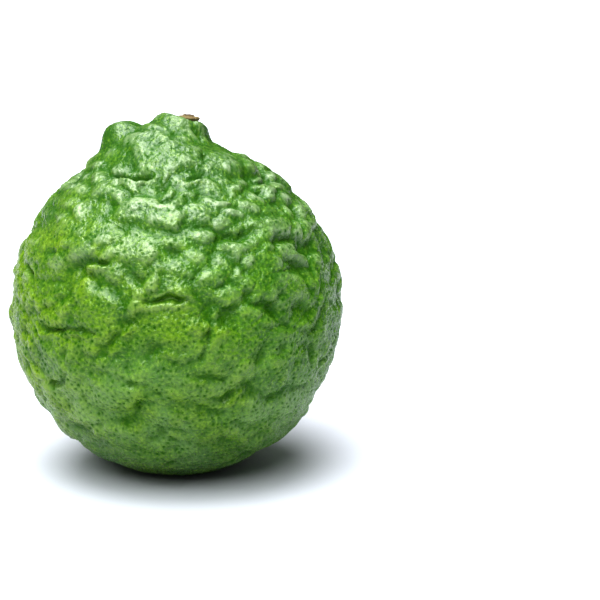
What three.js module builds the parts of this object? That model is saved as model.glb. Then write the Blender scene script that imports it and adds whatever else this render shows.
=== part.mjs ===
// Makrut lime: one whole picked fruit with a warted, furrowed rind and a knobbed stem end.
// Millimetres, +Z up along the fruit's axis, origin at the centre of the flat spot it rests on.
// Azimuths run from +X towards +Y, so the side with the named furrows faces -Y, at -90 degrees.
// Elevations are above the plane of the widest section.
import * as THREE from 'three';
import { mergeVertices } from 'three/addons/utils/BufferGeometryUtils.js';

// Body: two half ellipsoids that meet at the widest section
const BODY_WIDTH = 61.2;
const HALF_WIDTH = BODY_WIDTH / 2;
const WIDEST_HEIGHT = 31;
const SHOULDER_RISE = 30.1;
const BLOSSOM_DROP = 31.9;

// Crown: the neck first, then the knobs on and round it, each with its rise above the body
const NECK_RISE = 4.6;
const NECK_REACH = 10.5;
const CROWN = [
  { azimuth: 216, elevation: 83, reach: NECK_REACH, power: 2, rise: NECK_RISE },
  { azimuth: 180, elevation: 73.5, reach: 4.6, power: 3.4, rise: 5.9 },
  { azimuth: 30, elevation: 87.6, reach: 5.3, power: 6, rise: 5.4 },
  { azimuth: -28, elevation: 68, reach: 5.4, power: 5.5, rise: 1.2 },
  { azimuth: 70, elevation: 74, reach: 4.8, power: 4, rise: 2.8 },
];
const CROWN_BLEND = 6;

// Warts: rounded swellings that cover the rind and meet in creases
const LARGE_WARTS = {
  count: 250, salt: 11, scatter: 0.95, reach: [3.3, 5.2], height: [0.25, 1.6], stretch: [1.0, 2.2], lean: 50,
  softest: 0.4, firmest: 0.15, creaseDepth: 0.4, creaseGap: 0.4, creaseWave: 13, creasePhase: 9.2,
  creaseFrom: -0.15, creaseTo: 0.45,
};
const SMALL_WARTS = {
  count: 1300, salt: 31, scatter: 0.95, reach: [1.5, 2.4], height: [0.05, 1.0], stretch: [1.0, 2.0], lean: 90,
  softest: 0.2, firmest: 0.09, creaseDepth: 0.15, creaseGap: 0.3, creaseWave: 10, creasePhase: 3.2,
  creaseFrom: 0.0, creaseTo: 0.5,
};
const RELIEF_DATUM = 0.8;
const RELIEF_FLOOR = -2.2;
const RELIEF_CEILING = 0.65;
const FIRM_WAVE = 26;
const FIRM_PHASE = 5.7;
const FIRM_FROM = -0.5;
const FIRM_TO = 0.4;

// Wander: how far the wart pattern drifts sideways, and over what length
const WANDERS = [
  { drift: 1.8, wave: 17, phases: [1.0, 2.3, 4.1] },
  { drift: 0.4, wave: 4.4, phases: [0.4, 1.9, 3.3] },
];
const WAVE_BEND = 1.6;

// Furrows: the long folds and pits that stand out on the side that faces -Y
const FURROWS = [
  { azimuth: -115, elevation: 59.5, length: 9.5, width: 1.7, depth: 1.5, tilt: 14, bow: 0.03 },
  { azimuth: -115, elevation: 23.5, length: 5.5, width: 2, depth: 1, tilt: 10, bow: 0.1 },
  { azimuth: -90, elevation: 13.2, length: 8, width: 2, depth: 1.2, tilt: 0, bow: -0.03 },
  { azimuth: -125, elevation: 0.6, length: 12, width: 2, depth: 0.6, tilt: 10, bow: 0.02 },
  { azimuth: -151, elevation: 18.7, length: 4, width: 2.3, depth: 0.9, tilt: 0, bow: 0 },
  { azimuth: -90, elevation: 51, length: 5, width: 2.4, depth: 0.8, tilt: 5, bow: 0 },
  { azimuth: -71, elevation: 57.5, length: 3.6, width: 2.2, depth: 1, tilt: 30, bow: 0 },
  { azimuth: -116, elevation: 77.8, length: 4.5, width: 1.7, depth: 0.8, tilt: 5, bow: 0 },
  { azimuth: -28, elevation: 80, length: 4, width: 1.9, depth: 0.7, tilt: 80, bow: 0 },
  { azimuth: -60, elevation: 33, length: 9, width: 2.8, depth: 1, tilt: 10, bow: 0.04 },
  { azimuth: -134, elevation: -15, length: 5, width: 2.2, depth: 0.8, tilt: 20, bow: -0.06 },
  { azimuth: -78, elevation: 0, length: 5.5, width: 2, depth: 0.6, tilt: 80, bow: 0.03 },
  { azimuth: -72, elevation: -20.6, length: 5, width: 2.1, depth: 0.8, tilt: 5, bow: 0.05 },
];

// Calm: the relief is lower in the lower half and round the neck, by height over the widest section,
// and on one flank
const CALM_SHARE = 0.5;
const CALM_FROM = -0.45;
const CALM_TO = 0.2;
const NECK_CALM = 0.5;
const NECK_CALM_FROM = 0.84;
const NECK_CALM_TO = 0.93;
const FLANK = { azimuth: -146, elevation: 24, reach: 14, power: 3 };
const FLANK_CALM = 0.55;

// Rest: the relief dies away towards the table, which presses one small flat spot
const REST_RELIEF = 0.15;
const REST_FADE = [1, 7];

// Stem seat and button: the dried calyx, a lobed disc with a stalk scar, in a shallow seat on the crown
const SEAT = { azimuth: 28, elevation: 85.4, reach: 3.1, power: 6, depth: 1.1 };
const BUTTON_RADIUS = 2;
const BUTTON_HEIGHT = 0.6;
const BUTTON_LOBES = 5;
const LOBE_DEPTH = 0.1;
const STALK_RADIUS = 1.0;
const STALK_RISE = 0.3;
const STALK_HOLLOW = 0.2;
const BUTTON_GAP = 0.36;
const BUTTON_SIDES = 30;

// Facets: each edge of the icosahedron that the fruit grows from is cut into this many more
const FACET_SPLITS = 22;

const GOLDEN_ANGLE = Math.PI * (3 - Math.sqrt(5));
const SAME_SIDE = 0.5;
const { clamp, degToRad, smoothstep, lerp } = THREE.MathUtils;

// A repeatable draw between 0 and 1 for item i of the set that salt names
function draw(i, salt) {
  const x = Math.sin(i * 12.9898 + salt * 78.233) * 43758.5453;
  return x - Math.floor(x);
}

function drawBetween([low, high], i, salt) {
  return lerp(low, high, draw(i, salt));
}

function direction(azimuth, elevation) {
  const a = degToRad(azimuth);
  const e = degToRad(elevation);
  return new THREE.Vector3(Math.cos(e) * Math.cos(a), Math.cos(e) * Math.sin(a), Math.sin(e));
}

// Unit tangents at a direction, turned from east towards north by an angle in radians
function tangents(centre, turn) {
  const east = new THREE.Vector3(-centre.y, centre.x, 0).normalize();
  const north = new THREE.Vector3().crossVectors(centre, east);
  const along = east.clone().multiplyScalar(Math.cos(turn)).addScaledVector(north, Math.sin(turn));
  const across = north.clone().multiplyScalar(Math.cos(turn)).addScaledVector(east, -Math.sin(turn));
  return { along, across };
}

// 1 at a named place, falling to 0 beyond its reach
function mound(u, { azimuth, elevation, reach, power }) {
  const away = Math.acos(clamp(u.dot(direction(azimuth, elevation)), -1, 1)) * HALF_WIDTH;
  return Math.exp(-((away / reach) ** power));
}

// A smooth wandering field between -1 and 1: three crossed waves, each bent by the next
function ripple(p, wavelength, phase) {
  const k = (2 * Math.PI) / wavelength;
  const x = p.x * k;
  const y = p.y * k;
  const z = p.z * k;
  const waves = Math.sin(x + phase + WAVE_BEND * Math.sin(y))
    + Math.sin(y + 2 * phase + WAVE_BEND * Math.sin(z))
    + Math.sin(z + 3 * phase + WAVE_BEND * Math.sin(x));
  return waves / 3;
}

// Sideways drift of the wart pattern at a place
function wandering(place, { drift, wave, phases }) {
  return new THREE.Vector3(...phases.map((phase) => drift * ripple(place, wave, phase)));
}

function softMaximum(values, softness) {
  const most = Math.max(...values);
  const sum = values.reduce((total, value) => total + Math.exp((value - most) / softness), 0);
  return most + softness * Math.log(sum);
}

// Warts of one size, spread evenly by a golden spiral and then scattered
function growWarts({ count, salt, scatter, reach, height, stretch, lean }) {
  const step = Math.sqrt((4 * Math.PI) / count) * scatter;
  return Array.from({ length: count }, (_, i) => {
    const z = clamp(1 - (2 * (i + 0.5)) / count + (draw(i, salt) - 0.5) * step, -0.999, 0.999);
    const ring = Math.sqrt(1 - z * z);
    const turn = i * GOLDEN_ANGLE + ((draw(i, salt + 1) - 0.5) * step) / ring;
    const centre = new THREE.Vector3(ring * Math.cos(turn), ring * Math.sin(turn), z);
    const size = drawBetween(reach, i, salt + 2);
    const longer = Math.sqrt(drawBetween(stretch, i, salt + 4));
    const { along, across } = tangents(centre, (draw(i, salt + 5) - 0.5) * degToRad(lean));
    return {
      centre,
      along: along.multiplyScalar(HALF_WIDTH / (size * longer)),
      across: across.multiplyScalar((HALF_WIDTH * longer) / size),
      height: drawBetween(height, i, salt + 3),
    };
  });
}

// Height of the warts at a direction: the tallest wart there, softened where it meets the next
// tallest, with a crease along the line where the two are equal
function wartRelief(u, place, kind, warts, firmness) {
  const heights = [];
  for (const wart of warts) {
    if (u.dot(wart.centre) > SAME_SIDE) {
      heights.push(wart.height * (1 - u.dot(wart.along) ** 2 - u.dot(wart.across) ** 2));
    }
  }
  heights.sort((a, b) => b - a);
  const gap = heights[0] - heights[1];
  const open = smoothstep(ripple(place, kind.creaseWave, kind.creasePhase), kind.creaseFrom, kind.creaseTo);
  const crease = kind.creaseDepth * Math.exp(-((gap / kind.creaseGap) ** 2)) * open;
  return softMaximum(heights, lerp(kind.softest, kind.firmest, firmness)) - crease;
}

// Depth of one furrow at a direction
function furrowDepth(u, { azimuth, elevation, length, width, depth, tilt, bow }) {
  const centre = direction(azimuth, elevation);
  if (u.dot(centre) < SAME_SIDE) return 0;
  const { along, across } = tangents(centre, degToRad(tilt));
  const x = u.dot(along) * HALF_WIDTH;
  const y = u.dot(across) * HALF_WIDTH - bow * x * x;
  return depth * Math.exp(-(((2 * x) / length) ** 4) - ((2 * y) / width) ** 2);
}

// Point of the smooth body in a direction from the middle of the widest section
function bodyPoint(u) {
  const semi = u.z > 0 ? SHOULDER_RISE : BLOSSOM_DROP;
  const radius = 1 / Math.hypot(u.x / HALF_WIDTH, u.y / HALF_WIDTH, u.z / semi);
  const p = u.clone().multiplyScalar(radius);
  p.z += WIDEST_HEIGHT;
  return p;
}

// Rise of the neck and its knobs above the body, blended where they meet
function crownRise(u) {
  const rises = CROWN.map((swelling) => swelling.rise * mound(u, swelling));
  return rises.reduce((total, rise) => total + rise ** CROWN_BLEND, 0) ** (1 / CROWN_BLEND);
}

const largeWarts = growWarts(LARGE_WARTS);
const smallWarts = growWarts(SMALL_WARTS);

// Share of its full height that the relief has at a direction
function reliefShare(u) {
  const lower = lerp(CALM_SHARE, 1, smoothstep(u.z, CALM_FROM, CALM_TO));
  return lower - NECK_CALM * smoothstep(u.z, NECK_CALM_FROM, NECK_CALM_TO) - FLANK_CALM * mound(u, FLANK);
}

// Relief of the rind at a direction: warts, creases and furrows, with the tallest tops levelled
function rindRelief(u) {
  const place = u.clone().multiplyScalar(HALF_WIDTH);
  const strayed = place.clone();
  WANDERS.forEach((wander) => strayed.add(wandering(place, wander)));
  strayed.normalize();
  const firmness = smoothstep(ripple(place, FIRM_WAVE, FIRM_PHASE), FIRM_FROM, FIRM_TO);
  const warts = wartRelief(strayed, place, LARGE_WARTS, largeWarts, firmness)
    + wartRelief(strayed, place, SMALL_WARTS, smallWarts, firmness);
  const folds = FURROWS.reduce((total, furrow) => total + furrowDepth(strayed, furrow), 0);
  const relief = Math.max((warts - RELIEF_DATUM) * reliefShare(u) - folds, RELIEF_FLOOR);
  return relief > 0 ? RELIEF_CEILING * Math.tanh(relief / RELIEF_CEILING) : relief;
}

// Point of the rind in a direction: no relief on the stem seat, little of it near the table
function rindPoint(u) {
  const p = bodyPoint(u);
  const seat = mound(u, SEAT);
  const fade = lerp(REST_RELIEF, 1, smoothstep(p.z, ...REST_FADE)) * (1 - seat);
  p.addScaledVector(u, crownRise(u) - SEAT.depth * seat + rindRelief(u) * fade);
  p.z = Math.max(p.z, 0);
  return p;
}

function makeFruit() {
  const sphere = new THREE.IcosahedronGeometry(1, FACET_SPLITS);
  sphere.deleteAttribute('normal');
  sphere.deleteAttribute('uv');
  const rind = mergeVertices(sphere);
  const points = rind.getAttribute('position');
  const u = new THREE.Vector3();
  for (let i = 0; i < points.count; i += 1) {
    const p = rindPoint(u.fromBufferAttribute(points, i).normalize());
    points.setXYZ(i, p.x, p.y, p.z);
  }
  rind.computeVertexNormals();
  const finish = new THREE.MeshStandardMaterial({ color: 0x5d9630, roughness: 0.4, metalness: 0 });
  const fruit = new THREE.Mesh(rind, finish);
  fruit.name = 'fruit';
  return fruit;
}

function makeStemButton() {
  const rim = BUTTON_RADIUS;
  const top = BUTTON_HEIGHT;
  const profile = [
    [0, 0], [0.62 * rim, 0], [0.94 * rim, 0.3 * top], [rim, 0.65 * top], [0.85 * rim, 0.95 * top],
    [STALK_RADIUS + 0.2, top], [STALK_RADIUS, top + 0.8 * STALK_RISE],
    [0.7 * STALK_RADIUS, top + STALK_RISE], [0, top + STALK_RISE - STALK_HOLLOW],
  ];
  const disc = new THREE.LatheGeometry(profile.map(([r, z]) => new THREE.Vector2(r, z)), BUTTON_SIDES);
  disc.rotateX(Math.PI / 2);
  const points = disc.getAttribute('position');
  for (let i = 0; i < points.count; i += 1) {
    const x = points.getX(i);
    const y = points.getY(i);
    const lobe = LOBE_DEPTH * Math.cos(BUTTON_LOBES * Math.atan2(y, x)) * (Math.hypot(x, y) / rim) ** 2;
    points.setXYZ(i, x * (1 + lobe), y * (1 + lobe), points.getZ(i));
  }
  disc.computeVertexNormals();
  const finish = new THREE.MeshStandardMaterial({ color: 0x7d6b43, roughness: 0.85, metalness: 0 });
  const button = new THREE.Mesh(disc, finish);
  button.name = 'stem_button';
  const up = direction(SEAT.azimuth, SEAT.elevation);
  button.position.copy(rindPoint(up)).addScaledVector(up, BUTTON_GAP);
  button.quaternion.setFromUnitVectors(new THREE.Vector3(0, 0, 1), up);
  return button;
}

const lime = new THREE.Group();
lime.add(makeFruit(), makeStemButton());

export default lime;
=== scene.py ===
"""Makrut lime: a whole fruit with a warted rind and a dried stem button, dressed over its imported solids.

The fruit's form is one formula over directions from its middle. Lengths are in metres, +Z is up along
the fruit's axis, azimuths run from +X towards +Y, and the side with the placed furrows faces -Y.
"""

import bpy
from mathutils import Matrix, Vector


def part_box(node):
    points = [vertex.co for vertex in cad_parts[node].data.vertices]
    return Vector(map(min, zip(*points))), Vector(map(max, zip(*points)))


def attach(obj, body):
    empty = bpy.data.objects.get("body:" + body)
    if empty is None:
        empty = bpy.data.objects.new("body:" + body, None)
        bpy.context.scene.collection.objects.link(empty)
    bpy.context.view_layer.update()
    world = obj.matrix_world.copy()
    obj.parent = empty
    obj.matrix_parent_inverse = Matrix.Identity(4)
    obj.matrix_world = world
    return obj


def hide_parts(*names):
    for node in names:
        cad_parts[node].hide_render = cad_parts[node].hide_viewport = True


bl_info = {
    "name": "Makrut Lime",
    "version": (1, 0, 0),
    "blender": (4, 5, 0),
    "location": "View3D > Sidebar > Lime",
    "description": "Grows a makrut lime with warts, oil glands and a stem button on a white table",
    "category": "Add Mesh",
}

import math

import bmesh
import bpy
import numpy as np
from bpy.props import FloatProperty, FloatVectorProperty, IntProperty, PointerProperty
from mathutils import Vector

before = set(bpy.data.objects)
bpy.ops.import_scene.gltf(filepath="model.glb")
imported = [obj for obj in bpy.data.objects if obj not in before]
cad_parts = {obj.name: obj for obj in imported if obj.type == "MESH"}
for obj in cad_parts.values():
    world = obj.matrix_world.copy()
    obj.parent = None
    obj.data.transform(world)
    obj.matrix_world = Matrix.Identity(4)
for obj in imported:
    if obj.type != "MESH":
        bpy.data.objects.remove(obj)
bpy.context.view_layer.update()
MM = 0.001

# Crown: the neck and the knobs that stand on it, each with its rise above the body
NECK = dict(azimuth=216, elevation=83, power=2)
CROWN_KNOBS = [
    dict(azimuth=180, elevation=73.5, reach=4.6 * MM, power=3.4, rise=5.9 * MM),
    dict(azimuth=30, elevation=87.6, reach=5.3 * MM, power=6, rise=5.4 * MM),
    dict(azimuth=-28, elevation=68, reach=5.4 * MM, power=5.5, rise=1.2 * MM),
    dict(azimuth=70, elevation=74, reach=4.8 * MM, power=4, rise=2.8 * MM),
]
CROWN_BLEND = 6

# Warts: rounded swellings of two sizes that cover the rind and meet in creases
LARGE_WARTS = {
    "count": 250, "salt": 11, "scatter": 0.95, "stretch": (1.0, 2.2), "lean": 50,
    "reach": (3.3 * MM, 5.2 * MM), "height": (0.25 * MM, 1.6 * MM),
    "softest": 0.38 * MM, "firmest": 0.13 * MM,
    "crease_depth": 0.25 * MM, "crease_gap": 0.26 * MM, "crease_wave": 13 * MM, "crease_phase": 9.2,
    "crease_open": (-0.15, 0.45),
}
SMALL_WARTS = {
    "count": 1300, "salt": 31, "scatter": 0.95, "stretch": (1.0, 2.0), "lean": 90,
    "reach": (1.5 * MM, 2.4 * MM), "height": (0.05 * MM, 1.0 * MM),
    "softest": 0.14 * MM, "firmest": 0.05 * MM,
    "crease_depth": 0.12 * MM, "crease_gap": 0.14 * MM, "crease_wave": 10 * MM, "crease_phase": 3.2,
    "crease_open": (0.0, 0.5),
}
RELIEF_DATUM = 0.8 * MM
RELIEF_FLOOR = -2.2 * MM
RELIEF_CEILING = 0.65 * MM
FIRM_WAVE = 26 * MM
FIRM_PHASE = 5.7
FIRM_SPAN = (-0.5, 0.4)

# Wander: how far the wart pattern drifts sideways, and over what length
WANDERS = [
    {"drift": 1.8 * MM, "wave": 17 * MM, "phases": (1.0, 2.3, 4.1)},
    {"drift": 0.4 * MM, "wave": 4.4 * MM, "phases": (0.4, 1.9, 3.3)},
]
WAVE_BEND = 1.6

# Furrows: the long folds and pits on the side that faces -Y, each over a raised lip, with bow in 1/m
FURROWS = [
    dict(azimuth=-115, elevation=59.5, length=9.5 * MM, width=1.1 * MM, depth=1.5 * MM, tilt=14, bow=30),
    dict(azimuth=-115, elevation=23.5, length=5.5 * MM, width=1 * MM, depth=1 * MM, tilt=10, bow=100),
    dict(azimuth=-90, elevation=13.2, length=8 * MM, width=1 * MM, depth=1.2 * MM, tilt=0, bow=-30),
    dict(azimuth=-125, elevation=0.6, length=12 * MM, width=0.9 * MM, depth=0.6 * MM, tilt=10, bow=20),
    dict(azimuth=-151, elevation=18.7, length=4 * MM, width=1.2 * MM, depth=0.9 * MM, tilt=0, bow=0),
    dict(azimuth=-90, elevation=51, length=5 * MM, width=1.3 * MM, depth=0.8 * MM, tilt=5, bow=0),
    dict(azimuth=-71, elevation=57.5, length=3.6 * MM, width=1.2 * MM, depth=1 * MM, tilt=30, bow=0),
    dict(azimuth=-116, elevation=77.8, length=4.5 * MM, width=1 * MM, depth=0.8 * MM, tilt=5, bow=0),
    dict(azimuth=-28, elevation=80, length=4 * MM, width=1.2 * MM, depth=0.7 * MM, tilt=80, bow=0),
    dict(azimuth=-60, elevation=33, length=9 * MM, width=1.8 * MM, depth=1 * MM, tilt=10, bow=40),
    dict(azimuth=-134, elevation=-15, length=5 * MM, width=1.1 * MM, depth=0.8 * MM, tilt=20, bow=-60),
    dict(azimuth=-78, elevation=0, length=5.5 * MM, width=1 * MM, depth=0.6 * MM, tilt=80, bow=30),
    dict(azimuth=-72, elevation=-20.6, length=5 * MM, width=1.1 * MM, depth=0.8 * MM, tilt=5, bow=50),
]
LIP_SHARE = 0.4
LIP_AWAY = 2.0

# Pits: small hollows scattered over the rind
PITS = {
    "count": 700, "salt": 71, "scatter": 0.9,
    "reach": (0.5 * MM, 0.9 * MM), "depth": (-0.35 * MM, 0.6 * MM),
}

# Calm: the relief is lower in the lower half, round the neck and on one flank
CALM_SHARE = 0.5
CALM_SPAN = (-0.45, 0.2)
NECK_CALM = 0.5
NECK_CALM_SPAN = (0.84, 0.93)
FLANK = dict(azimuth=-146, elevation=24, reach=14 * MM, power=3)
FLANK_CALM = 0.55

# Rest: the relief dies away towards the table
REST_RELIEF = 0.15
REST_FADE = (1 * MM, 7 * MM)

# Stem seat: the shallow hollow in the crown that holds the button
SEAT = dict(azimuth=28, elevation=85.4, reach=3.1 * MM, power=6, depth=1.1 * MM)

# Oil glands: their spread, the share of a gland a third of the way to its neighbours, and how they differ
GLAND_SALT = 5
GLAND_SCATTER = 0.62
GLAND_SKIRT = 0.45
GLAND_SINK = (0.3, 1.2)
GLAND_DARKNESS = (0.25, 1.0)

# Painted shade and light: how far a point lies under or over the rind round it, for the painted shade in
# hollows and the painted light on ridges
CAVITY_ROUNDS = 8
CAVITY_SOFTENING = 1
VALLEY_ROUNDS = 3
HOLLOW_SPAN = (0.02 * MM, 0.2 * MM)
RIDGE_SPAN = (0.0, 0.15 * MM)
VALLEY_SPAN = (0.0, 1.4 * MM)
VALLEY_SHARE = 0.45

# Rind finish: heights of the painted shade on the shoulder, the frost with painted sheen, the darker crown,
# the bloom with painted reflection and the painted shade near the table, and the way from the green side in
# painted shade to the side in painted light
# Painted shade: the rind is darker on the shoulder, where the light from above falls strongest
SHOULDER_SPAN = (36 * MM, 54 * MM)
# Frost with painted sheen on the raised parts of the shoulder; the wax's real sheen also rises over this
# span
FROST_SHEEN_SPAN = (32 * MM, 52 * MM)
CROWN_SPAN = (56 * MM, 64 * MM)
# Painted reflection of the pale table: the bloom grows paler low down
BLOOM_REFLECTION_SPAN = (34 * MM, 14 * MM)
# Painted shade near the table: darker and with less bloom towards the blossom end
CONTACT_SHADE_SPAN = (15 * MM, 3 * MM)
LIT_SIDE_SPAN = (22 * MM, -26 * MM)

# Rind finish: sizes of what varies over the skin
PATCH_SIZE = 24 * MM
BLOTCH_SIZE = 8 * MM
BLOOM_SIZE = 7 * MM
FROST_SHEEN_SIZE = 4.5 * MM
MOTTLE_SIZE = 3 * MM
GRAIN_SIZE = 0.75 * MM
FLECK_SIZE = 0.55 * MM
CLOUD_DETAIL = 3.0

# Rind finish: the colours that a user can change, by the names of their properties
RIND_COLOURS = ("green", "lit_yellow", "pale", "dark_and_shade", "gland", "bloom_and_reflection", "frost_sheen")

# Rind finish: the stretch of each pattern over which its colour comes in
WHOLE = (0.0, 1.0)
PATCH_WINDOW = (0.35, 0.7)
BLOTCH_WINDOW = (0.42, 0.6)
MOTTLE_WINDOW = (0.4, 0.7)
BLOOM_WINDOW = (0.36, 0.62)
FROST_SHEEN_WINDOW = (0.4, 0.65)
FROST_SHEEN_RIDGES = (0.0, 0.8)
DARK_FLECKS = (0.5, 0.7)
PALE_FLECKS = (0.5, 0.3)
DEEP_HOLLOWS = (0.05, 1.0)
GLAND_CORE = (0.2, 0.8)
GLAND_PATCHES = (0.25, 0.6)

# Rind finish: share of each colour at the two ends of what brings it in
# Painted light and shade: lighter and yellower on the -X side and on ridges, darker on the shoulder
LIT_YELLOW_BY_SIDE = (-0.15, 0.8)
LIT_YELLOW_BY_PATCH = (-0.2, 0.4)
LIT_YELLOW_BY_RIDGE = (-0.1, 0.2)
LIT_YELLOW_BY_SHOULDER = (-0.05, -0.35)
SHADE_BY_MOTTLE = (0.0, 0.45)
SHADE_BY_BLOTCH = (-0.15, 0.4)
# Painted shade: darker on the shoulder
SHADE_BY_SHOULDER = (0.0, 0.4)
SHADE_BY_CROWN = (0.0, 0.2)
# Painted shade: darker near the table
SHADE_BY_CONTACT = (0.0, 0.45)
DARK_BY_FLECK = (0.0, 0.75)
PALE_BY_FLECK = (0.0, 0.55)
# Painted light: paler on ridges
PALE_BY_RIDGE = (0.0, 0.15)
# Painted reflection of the table: paler bloom low down
BLOOM_REFLECTION_BY_HEIGHT = (0.03, 0.65)
# Painted shade near the table: less bloom there
BLOOM_BY_CONTACT_SHADE = (1.0, 0.3)
# Painted sheen: whitish frost on the raised parts of the shoulder
FROST_SHEEN_BY_CLOUD = (0.15, 0.66)
FROST_SHEEN_BY_RIDGE = (0.12, 1.0)
FROST_SHEEN_BY_CROWN = (1.0, 0.6)
# Painted shade: darker in hollows
DARK_BY_HOLLOW = (0.0, 0.6)
DARK_BY_PATCH = (0.5, 1.0)

# Rind finish: gloss of the wax, lost in glands and hollows, and grain
SHEEN_BY_HEIGHT = (0.38, 0.62)
DULL_BY_GLAND = (0.0, 0.9)
DULLED = (0.0, 0.9)
SHEEN_LEFT = (1.0, 0.1)
RIND_IOR = 1.48
ROUGH_WINDOW = (0.3, 0.7)
ROUGH_SWING = (-0.03, 0.05)
ROUGH_BY_GLAND = (0.0, 0.25)
GRAIN_STRENGTH = 0.8
GRAIN_DEPTH = 0.34 * MM

# Button: its mesh, its foot in the seat, and the cracks and wear of its sepals
BUTTON_SIDES = 120
BUTTON_RINGS = 64
BUTTON_SINK = 0.45 * MM
LOBE_DEPTH = 0.1
STALK_HOLLOW = 0.2 * MM
CRACK_DEPTH = 0.16 * MM
CRACK_SHARPNESS = 24
CRACK_REACH = (0.5, 0.8)
WEAR_DEPTH = 0.05 * MM
WEAR_SIZE = 0.9 * MM
WEAR_PHASE = 2.0
WEAR_SHARE = (0.3, 0.3, 1)
SCAR_REACH = (0.75, 1.15)

# Button finish: its fibres and stains
FIBRE_SIZE = 0.35 * MM
FIBRE_DETAIL = 4.0
FIBRE_WINDOW = (0.45, 0.75)
FIBRE_SHARES = (0.0, 0.6)
FIBRE_STRENGTH = 0.6
FIBRE_DEPTH = 0.1 * MM
STAIN_SIZE = 1.4 * MM
STAIN_WINDOW = (0.35, 0.7)
CALYX_ROUGHNESS = (0.75, 0.95)

# Stage: the table, the two softboxes, and where the fruit lies on the picture
FLOOR_HALF = 6.0
FLOOR_ROUGHNESS = 0.8
FLOOR_SHEEN = 0.1
FRONT_SPAN = (0.3, -1.0)
KEY_PLACE = (-0.10, -0.33, 0.47)
BACK_PLACE = (-0.05, 0.03, 0.45)
LAMP_COLOUR = (0.99, 0.99, 1.01)
DISPLAY_GAMMA = 0.8
PICTURE_SIDE = 600
FRUIT_PIXEL = (177, 305)
BODY_PIXELS = 327.5
SENSOR = 36.0

# Working values: the draw, the spiral, how far a direction looks for warts, and directions in a batch
DRAW_STEP = 12.9898
DRAW_SALT = 78.233
DRAW_SPREAD = 43758.5453
GOLDEN_ANGLE = math.pi * (3 - math.sqrt(5))
POLE_LIMIT = 0.999
SAME_SIDE = 0.5
FAR_BELOW = -9 * MM
CHUNK = 4000


class LimeBody(bpy.types.PropertyGroup):
    """Sizes of the fruit without its relief."""

    width: FloatProperty(
        name="Width", description="Width at the widest section",
        default=61.2 * MM, unit="LENGTH",
    )
    widest_height: FloatProperty(
        name="Widest height", description="Height of the widest section above the table",
        default=31 * MM, unit="LENGTH",
    )
    shoulder_rise: FloatProperty(
        name="Shoulder rise", description="From the widest section to the shoulder's top",
        default=30.1 * MM, unit="LENGTH",
    )
    blossom_drop: FloatProperty(
        name="Blossom drop", description="From the widest section to the blossom end, not yet pressed flat",
        default=31.9 * MM, unit="LENGTH",
    )
    neck_rise: FloatProperty(
        name="Neck rise", description="How far the neck stands above the shoulder",
        default=4.6 * MM, unit="LENGTH",
    )
    neck_reach: FloatProperty(
        name="Neck reach", description="Distance from the neck's middle to its foot",
        default=10.5 * MM, unit="LENGTH",
    )


class LimeRind(bpy.types.PropertyGroup):
    """Oil glands and finish of the rind."""

    glands: IntProperty(
        name="Gland count", description="How many oil glands cover the rind",
        default=10800,
    )
    gland_depth: FloatProperty(
        name="Gland depth", description="Depth of the dimple at each oil gland",
        default=0.2 * MM, unit="LENGTH",
    )
    green: FloatVectorProperty(
        name="Green", description="Colour of the rind between its glands",
        default=(0.06, 0.18, 0.002, 1), size=4, subtype="COLOR",
    )
    # Painted light: the lighter, yellower colour of the -X side; the +X side keeps the green as painted
    # shade
    lit_yellow: FloatVectorProperty(
        name="Sunny side", description="Yellower colour of the side that ripened first",
        default=(0.18, 0.28, 0.002, 1), size=4, subtype="COLOR",
    )
    # Also the colour of the painted light on ridges
    pale: FloatVectorProperty(
        name="Pale flecks", description="Colour of the pale flecks between the glands",
        default=(0.21, 0.36, 0.035, 1), size=4, subtype="COLOR",
    )
    # Painted shade: the dark colour of the painted shade in creases, furrows, on the shoulder and near the
    # table; it also darkens random mottles and blotches
    dark_and_shade: FloatVectorProperty(
        name="Hollows", description="Colour in the creases and furrows",
        default=(0.02, 0.1, 0.002, 1), size=4, subtype="COLOR",
    )
    gland: FloatVectorProperty(
        name="Glands", description="Colour of the oil glands",
        default=(0.022, 0.1, 0.002, 1), size=4, subtype="COLOR",
    )
    # Wax bloom, paler low down as painted reflection of the table
    bloom_and_reflection: FloatVectorProperty(
        name="Bloom", description="Colour of the wax towards the blossom end",
        default=(0.18, 0.315, 0.1, 1), size=4, subtype="COLOR",
    )
    # Frost with painted sheen: a whitish colour on the raised parts of the shoulder
    frost_sheen: FloatVectorProperty(
        name="Frost", description="Colour of the wax on the raised parts of the shoulder",
        default=(0.33, 0.42, 0.27, 1), size=4, subtype="COLOR",
    )
    roughness: FloatProperty(
        name="Roughness", description="Middle roughness of the waxy skin",
        default=0.26, subtype="FACTOR",
    )


class LimeButton(bpy.types.PropertyGroup):
    """Sizes and colours of the dried stem button."""

    radius: FloatProperty(
        name="Radius", description="Middle radius of the lobed rim",
        default=2.0 * MM, unit="LENGTH",
    )
    height: FloatProperty(
        name="Height", description="Thickness of the lobed disc",
        default=0.6 * MM, unit="LENGTH",
    )
    lobes: IntProperty(
        name="Lobes", description="How many sepals the disc has",
        default=5,
    )
    stalk_radius: FloatProperty(
        name="Stalk radius", description="Radius of the scar where the stalk broke off",
        default=1.0 * MM, unit="LENGTH",
    )
    stalk_rise: FloatProperty(
        name="Stalk rise", description="Height of the scar above the disc",
        default=0.3 * MM, unit="LENGTH",
    )
    dry: FloatVectorProperty(
        name="Dry", description="Colour of the dry sepals",
        default=(0.16, 0.115, 0.045, 1), size=4, subtype="COLOR",
    )
    worn: FloatVectorProperty(
        name="Worn", description="Colour of the worn sepals",
        default=(0.21, 0.17, 0.07, 1), size=4, subtype="COLOR",
    )
    scar: FloatVectorProperty(
        name="Scar", description="Colour of the stalk scar",
        default=(0.075, 0.05, 0.022, 1), size=4, subtype="COLOR",
    )


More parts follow.
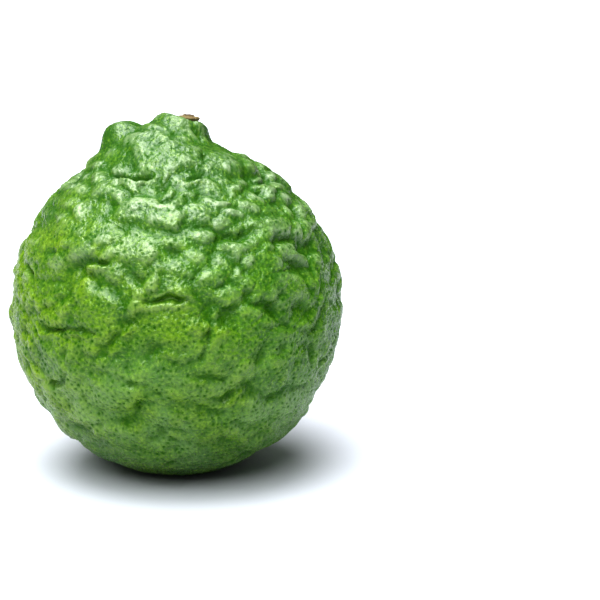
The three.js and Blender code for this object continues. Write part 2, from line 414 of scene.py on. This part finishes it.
class LimeStage(bpy.types.PropertyGroup):
    """Table, light and camera."""

    floor: FloatVectorProperty(
        name="Table", description="Colour of the table",
        default=(0.56, 0.58, 0.62, 1), size=4, subtype="COLOR",
    )
    zenith: FloatProperty(
        name="Zenith", description="Strength of the light from straight above",
        default=0.7,
    )
    horizon: FloatProperty(
        name="Horizon", description="Strength of the light from the back and the sides",
        default=0.08,
    )
    front: FloatProperty(
        name="Front", description="Strength that the light from the front has beyond the horizon's",
        default=0.08,
    )
    key_strength: FloatProperty(
        name="Key strength", description="Strength of the softbox in front and above",
        default=4.3,
    )
    back_strength: FloatProperty(
        name="Back strength", description="Strength of the softbox overhead",
        default=4.2,
    )
    key_angle: FloatProperty(
        name="Key angle", description="How wide a softbox looks from the table",
        default=math.radians(52), subtype="ANGLE",
    )
    camera_elevation: FloatProperty(
        name="Camera elevation", description="Angle of the view above the table",
        default=math.radians(12), subtype="ANGLE",
    )
    lens: FloatProperty(
        name="Lens", description="Focal length of the camera",
        default=110, unit="CAMERA",
    )


def draw(i, salt):
    """A repeatable draw between 0 and 1 for item i of the set that salt names."""
    x = np.sin(i * DRAW_STEP + salt * DRAW_SALT) * DRAW_SPREAD
    return x - np.floor(x)


def draw_between(span, i, salt):
    """A repeatable draw between the two ends of a span."""
    low, high = span
    return low + (high - low) * draw(i, salt)


def direction(azimuth, elevation):
    """Unit vector at an azimuth and elevation in degrees."""
    a, e = math.radians(azimuth), math.radians(elevation)
    return np.array([math.cos(e) * math.cos(a), math.cos(e) * math.sin(a), math.sin(e)])


def column(values):
    """Values as a column, to scale the rows of an array."""
    return np.asarray(values)[:, None]


def unit_rows(vectors):
    """Vectors scaled to length 1."""
    return vectors / column(np.linalg.norm(vectors, axis=1))


def tangents(centres, turn):
    """Unit tangents at directions, turned from east towards north by angles in radians."""
    east = unit_rows(np.stack([-centres[:, 1], centres[:, 0], np.zeros(len(centres))], axis=1))
    north = np.cross(centres, east)
    cos, sin = column(np.cos(turn)), column(np.sin(turn))
    return cos * east + sin * north, cos * north - sin * east


def ramp(x, low, high):
    """Smooth step from 0 at low to 1 at high."""
    t = np.clip((x - low) / (high - low), 0, 1)
    return t * t * (3 - 2 * t)


def ripple(p, wavelength, phase):
    """A smooth wandering field between -1 and 1: three crossed waves, each bent by the next."""
    x, y, z = (p * (2 * math.pi / wavelength)).T
    return (
        np.sin(x + phase + WAVE_BEND * np.sin(y))
        + np.sin(y + 2 * phase + WAVE_BEND * np.sin(z))
        + np.sin(z + 3 * phase + WAVE_BEND * np.sin(x))
    ) / 3


def wandering(p, wander):
    """Sideways drift of the pattern at points."""
    drift = [ripple(p, wander["wave"], phase) for phase in wander["phases"]]
    return wander["drift"] * np.stack(drift, axis=1)


def soft_maximum(values, softness):
    """The largest of each row of values, rounded over where several come close."""
    most = values.max(axis=1)
    total = np.exp((values - column(most)) / column(softness)).sum(axis=1)
    return most + softness * np.log(total)


def scattered_spiral(count, salt, scatter):
    """Directions spread evenly by a golden spiral and then scattered."""
    i = np.arange(count)
    step = math.sqrt(4 * math.pi / count) * scatter
    z = np.clip(1 - 2 * (i + 0.5) / count + (draw(i, salt) - 0.5) * step, -POLE_LIMIT, POLE_LIMIT)
    ring = np.sqrt(1 - z * z)
    turn = i * GOLDEN_ANGLE + (draw(i, salt + 1) - 0.5) * step / ring
    return np.stack([ring * np.cos(turn), ring * np.sin(turn), z], axis=1)


def wart_relief(u, place, kind, firmness, half):
    """Height of the warts of one kind at directions, and depth of the creases where they meet."""
    salt = kind["salt"]
    i = np.arange(kind["count"])
    centres = scattered_spiral(kind["count"], salt, kind["scatter"])
    size = draw_between(kind["reach"], i, salt + 2)
    tall = draw_between(kind["height"], i, salt + 3)
    longer = np.sqrt(draw_between(kind["stretch"], i, salt + 4))
    along, across = tangents(centres, (draw(i, salt + 5) - 0.5) * math.radians(kind["lean"]))
    along = (along * column(half / (size * longer))).T
    across = (across * column(half * longer / size)).T
    softness = kind["softest"] + (kind["firmest"] - kind["softest"]) * firmness
    height = np.empty(len(u))
    gap = np.empty(len(u))
    for start in range(0, len(u), CHUNK):
        part = slice(start, start + CHUNK)
        near = u[part] @ centres.T > SAME_SIDE
        swell = tall * (1 - (u[part] @ along) ** 2 - (u[part] @ across) ** 2)
        swell = np.maximum(np.where(near, swell, FAR_BELOW), FAR_BELOW)
        top_two = np.partition(swell, len(i) - 2, axis=1)[:, -2:]
        height[part] = soft_maximum(swell, softness[part])
        gap[part] = top_two[:, 1] - top_two[:, 0]
    is_open = ramp(ripple(place, kind["crease_wave"], kind["crease_phase"]), *kind["crease_open"])
    crease = kind["crease_depth"] * np.exp(-((gap / kind["crease_gap"]) ** 2)) * is_open
    return height, crease


def furrow_depth(u, furrow, half):
    """Depth of one furrow at directions."""
    centre = direction(furrow["azimuth"], furrow["elevation"])
    along, across = tangents(centre[None], np.radians([furrow["tilt"]]))
    x = u @ along[0] * half
    y = u @ across[0] * half - furrow["bow"] * x * x
    slit = np.exp(-((2 * y / furrow["width"]) ** 2))
    lip = LIP_SHARE * np.exp(-((2 * y / furrow["width"] + LIP_AWAY) ** 2))
    share = np.exp(-((2 * x / furrow["length"]) ** 4)) * (slit - lip)
    return np.where(u @ centre > SAME_SIDE, furrow["depth"] * share, 0)


def pit_depth(u, half):
    """Depth of the scattered pits at directions."""
    i = np.arange(PITS["count"])
    centres = scattered_spiral(PITS["count"], PITS["salt"], PITS["scatter"])
    reach = draw_between(PITS["reach"], i, PITS["salt"] + 2)
    depth = np.maximum(draw_between(PITS["depth"], i, PITS["salt"] + 3), 0)
    total = np.empty(len(u))
    for start in range(0, len(u), CHUNK):
        part = slice(start, start + CHUNK)
        away = 2 * (1 - u[part] @ centres.T) * (half / reach) ** 2
        total[part] = (depth * np.exp(-away)).sum(axis=1)
    return total


def mound(u, place, half):
    """1 at a named place, falling to 0 beyond its reach."""
    away = np.arccos(np.clip(u @ direction(place["azimuth"], place["elevation"]), -1, 1)) * half
    return np.exp(-((away / place["reach"]) ** place["power"]))


def crown_rise(u, body):
    """Rise of the neck and its knobs above the body, blended where they meet."""
    neck = {**NECK, "reach": body.neck_reach, "rise": body.neck_rise}
    rises = [swelling["rise"] * mound(u, swelling, body.width / 2) for swelling in (neck, *CROWN_KNOBS)]
    return (np.array(rises) ** CROWN_BLEND).sum(axis=0) ** (1 / CROWN_BLEND)


def calm_share(u, half):
    """Share of the relief that is left at directions: less low down, round the neck and on one flank."""
    calm = CALM_SHARE + (1 - CALM_SHARE) * ramp(u[:, 2], *CALM_SPAN)
    return calm - NECK_CALM * ramp(u[:, 2], *NECK_CALM_SPAN) - FLANK_CALM * mound(u, FLANK, half)


def rind_relief(u, half):
    """Height of the warts, less the creases, furrows and pits, at directions."""
    place = u * half
    strayed = unit_rows(place + sum(wandering(place, wander) for wander in WANDERS))
    firmness = ramp(ripple(place, FIRM_WAVE, FIRM_PHASE), *FIRM_SPAN)
    large, large_crease = wart_relief(strayed, place, LARGE_WARTS, firmness, half)
    small, small_crease = wart_relief(strayed, place, SMALL_WARTS, firmness, half)
    folds = sum(furrow_depth(strayed, furrow, half) for furrow in FURROWS)
    calm = calm_share(u, half)
    cuts = (large_crease + small_crease) * calm + folds + pit_depth(strayed, half)
    relief = np.maximum((large + small - RELIEF_DATUM) * calm - cuts, RELIEF_FLOOR)
    return np.where(relief > 0, RELIEF_CEILING * np.tanh(relief / RELIEF_CEILING), relief)


def fruit_surface(u, sink, body):
    """Points of the rind in given directions, with the height of its relief there."""
    half = body.width / 2
    semi = np.where(u[:, 2] > 0, body.shoulder_rise, body.blossom_drop)
    radius = 1 / np.sqrt((u[:, 0] ** 2 + u[:, 1] ** 2) / half**2 + (u[:, 2] / semi) ** 2)
    points = u * column(radius) + np.array([0, 0, body.widest_height])
    seat = mound(u, SEAT, half)
    fade = (REST_RELIEF + (1 - REST_RELIEF) * ramp(points[:, 2], *REST_FADE)) * (1 - seat)
    relief = rind_relief(u, half) * fade
    rise = crown_rise(u, body) - SEAT["depth"] * seat
    points += u * column(relief + rise - sink * (1 - seat))
    points[:, 2] = np.maximum(points[:, 2], 0)
    return points, relief - sink


def smoothed(values, faces, rounds):
    """Values averaged with those of their neighbours on a closed mesh, round after round."""
    start = faces.ravel()
    end = np.roll(faces, -1, axis=1).ravel()
    neighbours = np.bincount(start)
    for _ in range(rounds):
        values = np.bincount(start, values[end]) / neighbours
    return values


def gland_net(count):
    """Directions of the oil glands, and the triangles that join neighbouring glands."""
    net = bmesh.new()
    seeds = [net.verts.new(p) for p in scattered_spiral(count, GLAND_SALT, GLAND_SCATTER)]
    bmesh.ops.convex_hull(net, input=seeds)
    net.verts.index_update()
    points = np.array([v.co[:] for v in net.verts])
    triangles = np.array([[v.index for v in face.verts] for face in net.faces])
    net.free()
    return points, triangles


def split_in_nine(points, triangles):
    """Triangles split at edge thirds and middles: directions, faces, and each point's share and gland."""
    sides = np.sort(triangles[:, [0, 1, 1, 2, 2, 0]].reshape(-1, 2), axis=1)
    edges, edge_of = np.unique(sides, axis=0, return_inverse=True)
    edge_of = edge_of.reshape(-1, 3)
    n, m, k = len(points), len(edges), len(triangles)
    near_first = (2 * points[edges[:, 0]] + points[edges[:, 1]]) / 3
    near_second = (points[edges[:, 0]] + 2 * points[edges[:, 1]]) / 3
    middles = points[triangles].mean(axis=1)
    everything = np.concatenate([points, near_first, near_second, middles])
    share = np.concatenate([np.ones(n), np.full(2 * m, GLAND_SKIRT), np.zeros(k)])
    gland = np.concatenate([np.arange(n), edges[:, 0], edges[:, 1], triangles[:, 0]])

    def third(side, corner):
        edge = edge_of[:, side]
        return np.where(edges[edge, 0] == corner, n + edge, n + m + edge)

    a, b, c = triangles.T
    rim = [third(0, a), third(0, b), third(1, b), third(1, c), third(2, c), third(2, a)]
    middle = n + 2 * m + np.arange(k)
    corners = [(a, rim[0], rim[5]), (b, rim[2], rim[1]), (c, rim[4], rim[3])]
    fan = [(rim[j], rim[(j + 1) % 6], middle) for j in range(6)]
    faces = np.concatenate([np.stack(face, axis=1) for face in corners + fan])
    used, faces = np.unique(faces, return_inverse=True)
    return unit_rows(everything[used]), faces.reshape(-1, 3), share[used], gland[used]


def mesh_object(name, points, faces, material):
    """A smooth-shaded mesh object in the scene."""
    mesh = bpy.data.meshes.new(name)
    mesh.from_pydata(points.tolist(), [], faces.tolist())
    mesh.validate()
    mesh.shade_smooth()
    mesh.materials.append(material)
    made = bpy.data.objects.new(name, mesh)
    bpy.context.scene.collection.objects.link(made)
    return made


def set_attribute(made, name, values):
    """Stores one number a point for the material to read."""
    attribute = made.data.attributes.new(name, "FLOAT", "POINT")
    attribute.data.foreach_set("value", np.asarray(values, dtype=np.float32))


class Nodes:
    """A node tree under construction."""

    def __init__(self, tree):
        self.tree = tree

    def node(self, kind, inputs=None, **settings):
        """A new node with its settings; an input is a value or another node's output."""
        made = self.tree.nodes.new(kind)
        for name, value in settings.items():
            setattr(made, name, value)
        for name, value in (inputs or {}).items():
            self.feed(made.inputs[name], value)
        return made

    def feed(self, socket, value):
        """Sets or links one input."""
        if isinstance(value, bpy.types.NodeSocket):
            self.tree.links.new(value, socket)
        else:
            socket.default_value = value

    def attribute(self, name):
        """A number stored at the mesh's points."""
        return self.node("ShaderNodeAttribute", attribute_name=name).outputs["Fac"]

    def noise(self, place, size, detail=2.0):
        """Noise with features of about the given size."""
        inputs = {"Vector": place, "Scale": 1 / size, "Detail": detail}
        return self.node("ShaderNodeTexNoise", inputs).outputs["Fac"]

    def span(self, value, low, high, to_low=0.0, to_high=1.0):
        """Maps a value from one span to another and holds it at the ends."""
        inputs = {"Value": value, "From Min": low, "From Max": high, "To Min": to_low, "To Max": to_high}
        return self.node("ShaderNodeMapRange", inputs).outputs["Result"]

    def mix(self, share, first, second):
        """Colour between two colours."""
        made = self.node("ShaderNodeMix", data_type="RGBA")
        self.feed(made.inputs["Factor"], share)
        colours = [socket for socket in made.inputs if socket.type == "RGBA"]
        for socket, colour in zip(colours, (first, second)):
            self.feed(socket, colour)
        return next(socket for socket in made.outputs if socket.type == "RGBA")

    def math(self, operation, first, *others):
        """One operation on a value and each of the others in turn."""
        for other in others:
            made = self.node("ShaderNodeMath", operation=operation)
            self.feed(made.inputs[0], first)
            self.feed(made.inputs[1], other)
            first = made.outputs["Value"]
        return first

    def total(self, *values):
        """Sum of several values."""
        return self.math("ADD", *values)

    def product(self, *values):
        """Product of several values."""
        return self.math("MULTIPLY", *values)


class Finish(Nodes):
    """A material under construction."""

    def __init__(self, name):
        self.material = bpy.data.materials.new(name)
        self.material.use_nodes = True
        super().__init__(self.material.node_tree)
        self.shader = self.tree.nodes["Principled BSDF"].inputs
        self.place = self.node("ShaderNodeTexCoord").outputs["Object"]

    def roughen(self, height, strength, depth):
        """Raises the finish by a pattern too fine for the mesh."""
        bump = self.node("ShaderNodeBump", {"Height": height, "Strength": strength, "Distance": depth})
        self.feed(self.shader["Normal"], bump.outputs["Normal"])


class RindFinish(Finish):
    """Waxy green skin: yellower with painted light on one side and in painted shade on the other, pale with
    bloom and painted reflection low down, painted sheen on the shoulder's raised parts, painted shade in
    hollows, on the shoulder and near the table, painted light on ridges, dark at each oil gland.
    """

    def __init__(self, rind):
        super().__init__("rind")
        self.colours = {name: tuple(getattr(rind, name)) for name in RIND_COLOURS}
        self.roughness = rind.roughness
        axes = self.node("ShaderNodeSeparateXYZ", {"Vector": self.place}).outputs
        self.side, self.height = axes["X"], axes["Z"]
        self.shoulder = self.span(self.height, *SHOULDER_SPAN)
        self.mottle = self.noise(self.place, MOTTLE_SIZE, CLOUD_DETAIL)
        self.flecks = self.noise(self.place, FLECK_SIZE)
        # Painted light: mask of the ridges, stored on the mesh
        self.lit_ridge = self.attribute("lit_ridge")
        # Painted shade: mask of the hollows, stored on the mesh
        self.painted_hollow_shade = self.span(self.attribute("dark_and_shade"), *DEEP_HOLLOWS, *DARK_BY_HOLLOW)
        core = self.span(self.attribute("gland"), *GLAND_CORE)
        self.dot = self.product(core, self.span(self.mottle, *GLAND_PATCHES, *DARK_BY_PATCH))

    def tinted(self, share, colour, tint):
        """A colour with a share of one of the rind's own colours."""
        return self.mix(share, colour, self.colours[tint])

    def ground(self):
        """Colour of the rind between its glands, with painted light and painted shade on its two sides, on
        ridges, on the shoulder and near the table.
        """
        patches = self.noise(self.place, PATCH_SIZE)
        blotches = self.noise(self.place, BLOTCH_SIZE)
        # Painted light: lighter and yellower on the -X side and on ridges, with random patches; less so on
        # the shoulder as painted shade
        lit_yellow = self.total(
            self.span(self.side, *LIT_SIDE_SPAN, *LIT_YELLOW_BY_SIDE),
            self.span(patches, *PATCH_WINDOW, *LIT_YELLOW_BY_PATCH),
            self.span(self.lit_ridge, *WHOLE, *LIT_YELLOW_BY_RIDGE),
            self.span(self.shoulder, *WHOLE, *LIT_YELLOW_BY_SHOULDER),
        )
        # Darker: random mottles and blotches, painted shade on the shoulder and near the table, and darker
        # towards the crown
        shade = self.total(
            self.span(self.mottle, *MOTTLE_WINDOW, *SHADE_BY_MOTTLE),
            self.span(blotches, *BLOTCH_WINDOW, *SHADE_BY_BLOTCH),
            self.span(self.shoulder, *WHOLE, *SHADE_BY_SHOULDER),
            self.span(self.height, *CROWN_SPAN, *SHADE_BY_CROWN),
            # Painted shade near the table
            self.span(self.height, *CONTACT_SHADE_SPAN, *SHADE_BY_CONTACT),
        )
        green = self.tinted(self.span(lit_yellow, *WHOLE), self.colours["green"], "lit_yellow")
        return self.tinted(self.span(shade, *WHOLE), green, "dark_and_shade")

    def flecked(self, colour):
        """A colour with dark and pale flecks, and painted light that makes ridges paler."""
        dark = self.tinted(self.span(self.flecks, *DARK_FLECKS, *DARK_BY_FLECK), colour, "gland")
        pale = self.tinted(self.span(self.flecks, *PALE_FLECKS, *PALE_BY_FLECK), dark, "pale")
        return self.tinted(self.span(self.lit_ridge, *WHOLE, *PALE_BY_RIDGE), pale, "pale")

    def waxed_and_lit(self, colour):
        """A colour under wax: patches of bloom low down as painted reflection of the table, fewer right by
        the table as painted shade, and frost with painted sheen on the raised parts of the shoulder.
        """
        bloom_and_reflection = self.product(
            self.span(self.noise(self.place, BLOOM_SIZE, CLOUD_DETAIL), *BLOOM_WINDOW),
            # Painted reflection of the table: more bloom low down
            self.span(self.height, *BLOOM_REFLECTION_SPAN, *BLOOM_REFLECTION_BY_HEIGHT),
            # Painted shade near the table: less bloom
            self.span(self.height, *CONTACT_SHADE_SPAN, *BLOOM_BY_CONTACT_SHADE),
        )
        # Painted sheen: frost on the raised parts of the shoulder
        frost_sheen = self.product(
            self.span(self.noise(self.place, FROST_SHEEN_SIZE, CLOUD_DETAIL), *FROST_SHEEN_WINDOW, *FROST_SHEEN_BY_CLOUD),
            self.span(self.height, *FROST_SHEEN_SPAN),
            self.span(self.lit_ridge, *FROST_SHEEN_RIDGES, *FROST_SHEEN_BY_RIDGE),
            self.span(self.height, *CROWN_SPAN, *FROST_SHEEN_BY_CROWN),
        )
        return self.tinted(frost_sheen, self.tinted(bloom_and_reflection, colour, "bloom_and_reflection"), "frost_sheen")

    def gloss(self):
        """Gives the wax its sheen and roughness, duller in glands and hollows."""
        dull = self.math("MAXIMUM", self.span(self.dot, *WHOLE, *DULL_BY_GLAND), self.painted_hollow_shade)
        waxy = self.span(self.height, *FROST_SHEEN_SPAN, *SHEEN_BY_HEIGHT)
        sheen = self.product(waxy, self.span(dull, *DULLED, *SHEEN_LEFT))
        self.feed(self.shader["Specular IOR Level"], sheen)
        self.feed(self.shader["IOR"], RIND_IOR)
        low, high = (self.roughness + swing for swing in ROUGH_SWING)
        rough = self.span(self.flecks, *ROUGH_WINDOW, low, high)
        self.feed(self.shader["Roughness"], self.total(rough, self.span(self.dot, *WHOLE, *ROUGH_BY_GLAND)))

    def dress(self):
        """The finished material."""
        skin = self.waxed_and_lit(self.flecked(self.ground()))
        # Painted shade in the hollows
        hollow_shaded = self.tinted(self.painted_hollow_shade, skin, "dark_and_shade")
        self.feed(self.shader["Base Color"], self.tinted(self.dot, hollow_shaded, "gland"))
        self.gloss()
        self.roughen(self.noise(self.place, GRAIN_SIZE), GRAIN_STRENGTH, GRAIN_DEPTH)
        return self.material


def dry_calyx_finish(button):
    """Dry woody sepals, darker on the stalk scar and in the cracks."""
    finish = Finish("dry_calyx")
    fibres = finish.noise(finish.place, FIBRE_SIZE, FIBRE_DETAIL)
    stains = finish.noise(finish.place, STAIN_SIZE)
    scar = tuple(button.scar)
    worn = finish.mix(finish.span(stains, *STAIN_WINDOW), tuple(button.dry), tuple(button.worn))
    dark = finish.mix(finish.attribute("scar"), worn, scar)
    streaked = finish.mix(finish.span(fibres, *FIBRE_WINDOW, *FIBRE_SHARES), dark, scar)
    finish.feed(finish.shader["Base Color"], streaked)
    finish.feed(finish.shader["Roughness"], finish.span(fibres, *ROUGH_WINDOW, *CALYX_ROUGHNESS))
    finish.roughen(fibres, FIBRE_STRENGTH, FIBRE_DEPTH)
    return finish.material


def floor_finish(stage):
    """Plain pale table."""
    finish = Finish("table")
    finish.feed(finish.shader["Base Color"], tuple(stage.floor))
    finish.feed(finish.shader["Roughness"], FLOOR_ROUGHNESS)
    finish.feed(finish.shader["Specular IOR Level"], FLOOR_SHEEN)
    return finish.material


class LIME_OT_grow_fruit(bpy.types.Operator):
    """Grow the whole fruit with its warts, furrows and oil glands"""

    bl_idname = "lime.grow_fruit"
    bl_label = "Grow Fruit"

    def execute(self, context):
        scene = context.scene
        directions, faces, share, gland = split_in_nine(*gland_net(scene.lime_rind.glands))
        sink = scene.lime_rind.gland_depth * share * draw_between(GLAND_SINK, gland, GLAND_SALT + 2)
        points, height = fruit_surface(directions, sink, scene.lime_body)
        # Masks for the painted shade in hollows and the painted light on ridges, from how far each point
        # lies under or over the rind round it
        around = smoothed(height, faces, CAVITY_ROUNDS)
        cavity = smoothed(around - height, faces, CAVITY_SOFTENING)
        valley = ramp(-smoothed(height, faces, VALLEY_ROUNDS), *VALLEY_SPAN)
        fruit = mesh_object("lime_fruit", points, faces, RindFinish(scene.lime_rind).dress())
        set_attribute(fruit, "gland", share * draw_between(GLAND_DARKNESS, gland, GLAND_SALT + 3))
        set_attribute(fruit, "dark_and_shade", np.clip(ramp(cavity, *HOLLOW_SPAN) + VALLEY_SHARE * valley, 0, 1))
        # Painted light on ridges
        set_attribute(fruit, "lit_ridge", ramp(-cavity, *RIDGE_SPAN))
        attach(fruit, "root")
        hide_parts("fruit")
        return {"FINISHED"}


def button_profile(button):
    """Distance from the axis and height along the button's outline, from under the disc to the scar."""
    rim, top = button.radius, button.height
    stalk, scar = button.stalk_radius, button.height + button.stalk_rise
    corners = np.array([
        (0, -BUTTON_SINK), (0.8 * rim, -BUTTON_SINK),
        (0.93 * rim, 0.1 * top), (rim, 0.5 * top), (0.93 * rim, 0.85 * top), (0.75 * rim, top),
        (1.3 * stalk, 0.92 * top), (1.05 * stalk, top + 0.1 * scar), (stalk, 0.93 * scar),
        (0.85 * stalk, scar), (0.5 * stalk, scar - 0.7 * STALK_HOLLOW), (0, scar - STALK_HOLLOW),
    ])
    steps = np.concatenate([[0], np.cumsum(np.linalg.norm(np.diff(corners, axis=0), axis=1))])
    along = np.linspace(0, steps[-1], BUTTON_RINGS)
    return np.interp(along, steps, corners[:, 0]), np.interp(along, steps, corners[:, 1])


def button_points(button):
    """Points of the lobed disc, ring by ring from under it to the scar, and then its two poles."""
    radius, height = button_profile(button)
    turn = np.linspace(0, 2 * math.pi, BUTTON_SIDES, endpoint=False)
    outward = column(radius / button.radius)
    lobe = 1 + LOBE_DEPTH * np.cos(button.lobes * turn) * outward**2
    crack = np.abs(np.sin(button.lobes * turn / 2)) ** CRACK_SHARPNESS
    x = column(radius) * lobe * np.cos(turn)
    y = column(radius) * lobe * np.sin(turn)
    z = column(height) - CRACK_DEPTH * crack * ramp(outward, *CRACK_REACH)
    points = np.stack([x, y, np.broadcast_to(z, x.shape)], axis=2)[1:-1].reshape(-1, 3)
    points += column(WEAR_DEPTH * ripple(points, WEAR_SIZE, WEAR_PHASE)) * WEAR_SHARE
    return np.concatenate([points, [(0, 0, height[0]), (0, 0, height[-1])]])


def ring_faces(rings, sides):
    """Triangles that join rings of points one to the next, and the end rings to two poles."""
    ids = np.arange(rings * sides).reshape(rings, sides)
    after = np.roll(ids, -1, axis=1)
    low, high = rings * sides, rings * sides + 1
    faces = []
    for ring in range(rings - 1):
        faces += zip(ids[ring], after[ring], after[ring + 1])
        faces += zip(ids[ring], after[ring + 1], ids[ring + 1])
    faces += [(low, b, a) for a, b in zip(ids[0], after[0])]
    faces += [(high, a, b) for a, b in zip(ids[-1], after[-1])]
    return np.array(faces)


def scar_share(points, button):
    """1 on the stalk scar, 0 on the sepals."""
    away = np.hypot(points[:, 0], points[:, 1]) / button.stalk_radius
    return 1 - ramp(away, *SCAR_REACH)


class LIME_OT_seat_button(bpy.types.Operator):
    """Seat the dried stem button in the crown"""

    bl_idname = "lime.seat_button"
    bl_label = "Seat Stem Button"

    def execute(self, context):
        scene = context.scene
        up = direction(SEAT["azimuth"], SEAT["elevation"])
        seat, _ = fruit_surface(up[None], np.zeros(1), scene.lime_body)
        points = button_points(scene.lime_button)
        faces = ring_faces(BUTTON_RINGS - 2, BUTTON_SIDES)
        turn = np.array(Vector((0, 0, 1)).rotation_difference(Vector(up)).to_matrix())
        low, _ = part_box("stem_button")
        base = np.array([*seat[0][:2], low.z])
        material = dry_calyx_finish(scene.lime_button)
        button = mesh_object("lime_stem_button", points @ turn.T + base, faces, material)
        set_attribute(button, "scar", scar_share(points, scene.lime_button))
        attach(button, "root")
        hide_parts("stem_button")
        return {"FINISHED"}


def white_room(stage):
    """Even light from the whole sky, strongest overhead."""
    world = bpy.data.worlds.new("white_room")
    world.use_nodes = True
    sky = Nodes(world.node_tree)
    view = sky.node("ShaderNodeTexCoord").outputs["Generated"]
    axes = sky.node("ShaderNodeSeparateXYZ", {"Vector": view}).outputs
    height = sky.span(axes["Z"], *WHOLE)
    overhead = sky.span(sky.product(height, height), *WHOLE, stage.horizon, stage.zenith)
    front = sky.span(axes["Y"], *FRONT_SPAN, 0.0, stage.front)
    lit = sky.tree.nodes["Background"].inputs
    sky.feed(lit["Strength"], sky.total(overhead, front))
    sky.feed(lit["Color"], (1, 1, 1, 1))
    bpy.context.scene.world = world


def aim(made, place, target):
    """Stands a light or camera at a place and points it at a target."""
    made.location = place
    made.rotation_euler = (Vector(target) - Vector(place)).to_track_quat("-Z", "Y").to_euler()
    bpy.context.scene.collection.objects.link(made)


def softbox(name, strength, angle, place):
    """A broad even lamp that shines on the fruit from a place."""
    lamp = bpy.data.lights.new(name, "SUN")
    lamp.angle = angle
    lamp.energy = strength
    lamp.color = LAMP_COLOUR
    aim(bpy.data.objects.new(name, lamp), place, (0, 0, 0))


def photo_camera(stage, body):
    """Camera that puts the fruit where the picture has it, on a square picture."""
    camera = bpy.data.cameras.new("camera")
    camera.lens = stage.lens
    camera.sensor_width = SENSOR
    pixel = body.width / BODY_PIXELS
    e = stage.camera_elevation
    back = Vector((0, -math.cos(e), math.sin(e)))
    up = Vector((0, math.sin(e), math.cos(e)))
    right = Vector((1, 0, 0))
    middle = PICTURE_SIDE / 2
    target = Vector((0, 0, body.widest_height))
    target += right * (middle - FRUIT_PIXEL[0]) * pixel + up * (FRUIT_PIXEL[1] - middle) * pixel
    away = middle * pixel / (SENSOR / 2 / stage.lens)
    made = bpy.data.objects.new("camera", camera)
    aim(made, target + back * away, target)
    bpy.context.scene.camera = made


class LIME_OT_set_stage(bpy.types.Operator):
    """Lay the table and set the light and the camera"""

    bl_idname = "lime.set_stage"
    bl_label = "Set Stage"

    def execute(self, context):
        scene = context.scene
        stage = scene.lime_stage
        corners = np.array([(-1, -1, 0), (1, -1, 0), (1, 1, 0), (-1, 1, 0)]) * FLOOR_HALF
        floor = mesh_object("table", corners, np.array([(0, 1, 2, 3)]), floor_finish(stage))
        white_room(stage)
        softbox("softbox", stage.key_strength, stage.key_angle, KEY_PLACE)
        softbox("back_softbox", stage.back_strength, stage.key_angle, BACK_PLACE)
        photo_camera(stage, scene.lime_body)
        scene.view_settings.view_transform = "Standard"
        scene.view_settings.gamma = DISPLAY_GAMMA
        return {"FINISHED"}


SETTINGS = {
    "lime_body": LimeBody,
    "lime_rind": LimeRind,
    "lime_button": LimeButton,
    "lime_stage": LimeStage,
}
STEPS = (LIME_OT_grow_fruit, LIME_OT_seat_button, LIME_OT_set_stage)


class VIEW3D_PT_lime(bpy.types.Panel):
    """Sizes, colours and steps of the lime"""

    bl_label = "Makrut Lime"
    bl_space_type = "VIEW_3D"
    bl_region_type = "UI"
    bl_category = "Lime"

    def draw(self, context):
        for name, kind in SETTINGS.items():
            box = self.layout.box()
            group = getattr(context.scene, name)
            for field in kind.__annotations__:
                box.prop(group, field)
        for step in STEPS:
            self.layout.operator(step.bl_idname)


CLASSES = (*SETTINGS.values(), *STEPS, VIEW3D_PT_lime)


def register():
    for kind in CLASSES:
        bpy.utils.register_class(kind)
    for name, kind in SETTINGS.items():
        setattr(bpy.types.Scene, name, PointerProperty(type=kind))


def unregister():
    for name in SETTINGS:
        delattr(bpy.types.Scene, name)
    for kind in reversed(CLASSES):
        bpy.utils.unregister_class(kind)


def main():
    register()
    bpy.ops.lime.grow_fruit()
    bpy.ops.lime.seat_button()
    bpy.ops.lime.set_stage()


if __name__ == "__main__":
    main()
